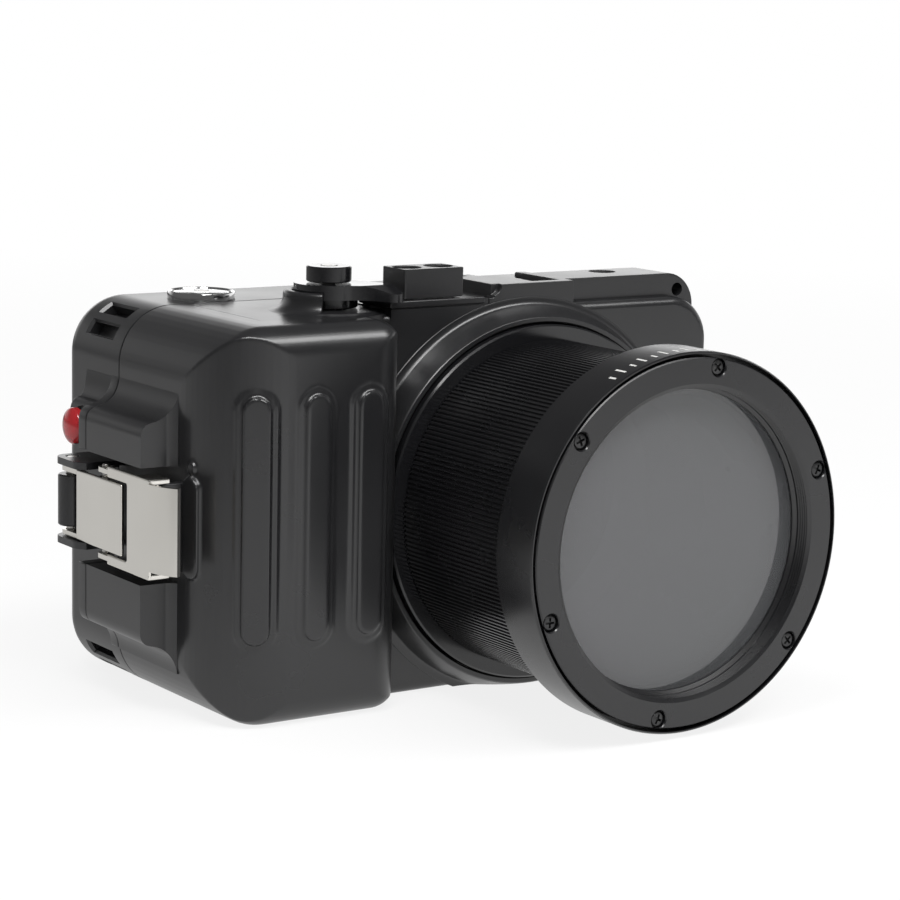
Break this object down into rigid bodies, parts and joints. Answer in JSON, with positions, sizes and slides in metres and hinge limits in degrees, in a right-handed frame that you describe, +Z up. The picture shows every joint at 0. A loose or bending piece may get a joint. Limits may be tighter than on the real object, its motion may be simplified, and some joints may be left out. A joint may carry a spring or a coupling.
{
  "type": "underwater camera housing",
  "caption": "Hinged waterproof housing for a compact camera, with hand grip, long flat port, latch, control levers, dial and push buttons",
  "frame": {"origin": "on the base plane, under the port axis, midway between the front panel and the back face", "axes": "+X along the case away from the grip, +Y from the port to the back, +Z up"},
  "size_m": [0.1585, 0.1267, 0.0984],
  "materials": {
    "case_black": "satin black coating",
    "black_anodised": "black anodised, satin",
    "button_black": "black moulded",
    "stainless": "plain turned steel",
    "polished_steel": "polished stainless sheet",
    "dark_screw": "blackened",
    "bright_rim": "bright",
    "brass": "turned",
    "black_rubber": "matt",
    "orange_seal": "silicone",
    "port_glass": "flat polished optical glass",
    "clear_acrylic": "clear polished acrylic",
    "red_button": "gloss red"
  },
  "bodies": {
    "case": {"front_shell": "case_black", "port_base_ring": "black_anodised", "port_base_seal": "black_rubber", "port_lock_ring": "black_anodised", "port_barrel": "black_anodised", "port_front_ring": "black_anodised", "port_retaining_plate": "black_anodised", "port_glass": "port_glass", "port_glass_seal": "black_rubber", "port_screw_1": "dark_screw", "port_screw_2": "dark_screw", "port_screw_3": "dark_screw", "port_screw_4": "dark_screw", "port_screw_5": "dark_screw", "port_screw_6": "dark_screw", "fibre_socket_block": "black_anodised", "shutter_shaft_seal": "black_rubber", "shutter_spring": "stainless", "hinge_pin": "stainless", "tripod_insert": "brass", "camera_tray": "black_anodised", "tray_pad": "black_rubber"},
    "cover": {"back_cover": "case_black", "main_seal": "orange_seal", "mode_dial_seal": "black_rubber", "record_button_spring": "stainless", "latch_hinge_pin": "stainless", "latch_barrel": "black_anodised", "back_window": "clear_acrylic", "window_seal": "black_rubber", "window_frame": "black_anodised", "menu_button_spring": "stainless", "playback_button_spring": "stainless", "delete_button_spring": "stainless", "ok_button_spring": "stainless", "up_button_spring": "stainless", "down_button_spring": "stainless", "left_button_spring": "stainless", "right_button_spring": "stainless"},
    "link": {"latch_link": "polished_steel", "latch_lever_pin": "stainless"},
    "lever": {"latch_lever": "polished_steel"},
    "shutter": {"shutter_lever": "black_anodised", "shutter_shaft": "stainless"},
    "power": {"power_knob": "black_anodised", "power_shaft": "stainless"},
    "mode_dial": {"mode_dial_knob": "clear_acrylic", "mode_dial_rim": "bright_rim", "mode_dial_shaft": "stainless"},
    "record": {"record_button": "red_button"},
    "menu": {"menu_button": "button_black"},
    "playback": {"playback_button": "button_black"},
    "delete": {"delete_button": "button_black"},
    "ok": {"ok_button": "button_black"},
    "up": {"up_button": "button_black"},
    "down": {"down_button": "button_black"},
    "left": {"left_button": "button_black"},
    "right": {"right_button": "button_black"}
  },
  "joints": [
    {"name": "cover_hinge", "type": "hinge", "parent": "case", "child": "cover", "pos_m": [0.0579, 0.00335, 0.044], "axis": [0, 0, -1], "range_deg": [0, 110]},
    {"name": "latch_link_hinge", "type": "hinge", "parent": "cover", "child": "link", "pos_m": [-0.0946, 0.01175, 0.0434], "axis": [0, 0, -1], "range_deg": [0, 90]},
    {"name": "latch_lever_hinge", "type": "hinge", "parent": "link", "child": "lever", "pos_m": [-0.0947, -0.00505, 0.0435], "axis": [0, 0, -1], "range_deg": [0, 100]},
    {"name": "shutter_lever_turn", "type": "hinge", "parent": "case", "child": "shutter", "pos_m": [-0.0465, -0.01975, 0.092], "axis": [0, 0, -1], "range_deg": [0, 14], "stiffness_Nm_per_rad": 0.02, "springref_deg": -8.59},
    {"name": "power_knob_turn", "type": "hinge", "parent": "case", "child": "power", "pos_m": [-0.0465, -0.01975, 0.096], "axis": [0, 0, 1], "range_deg": [0, 40]},
    {"name": "mode_dial_turn", "type": "hinge", "parent": "cover", "child": "mode_dial", "pos_m": [-0.0615, 0.01185, 0.089], "axis": [0, 0, 1], "continuous": true},
    {"name": "record_press", "type": "slide", "parent": "cover", "child": "record", "axis": [1, 0, 0], "range_m": [0, 0.0015], "stiffness_N_per_m": 800, "springref_m": -0.001},
    {"name": "menu_press", "type": "slide", "parent": "cover", "child": "menu", "axis": [0, -1, 0], "range_m": [0, 0.0012], "stiffness_N_per_m": 800, "springref_m": -0.001},
    {"name": "playback_press", "type": "slide", "parent": "cover", "child": "playback", "axis": [0, -1, 0], "range_m": [0, 0.0012], "stiffness_N_per_m": 800, "springref_m": -0.001},
    {"name": "delete_press", "type": "slide", "parent": "cover", "child": "delete", "axis": [0, -1, 0], "range_m": [0, 0.0012], "stiffness_N_per_m": 800, "springref_m": -0.001},
    {"name": "ok_press", "type": "slide", "parent": "cover", "child": "ok", "axis": [0, -1, 0], "range_m": [0, 0.0012], "stiffness_N_per_m": 800, "springref_m": -0.001},
    {"name": "up_press", "type": "slide", "parent": "cover", "child": "up", "axis": [0, -1, 0], "range_m": [0, 0.0012], "stiffness_N_per_m": 800, "springref_m": -0.001},
    {"name": "down_press", "type": "slide", "parent": "cover", "child": "down", "axis": [0, -1, 0], "range_m": [0, 0.0012], "stiffness_N_per_m": 800, "springref_m": -0.001},
    {"name": "left_press", "type": "slide", "parent": "cover", "child": "left", "axis": [0, -1, 0], "range_m": [0, 0.0012], "stiffness_N_per_m": 800, "springref_m": -0.001},
    {"name": "right_press", "type": "slide", "parent": "cover", "child": "right", "axis": [0, -1, 0], "range_m": [0, 0.0012], "stiffness_N_per_m": 800, "springref_m": -0.001}
  ]
}
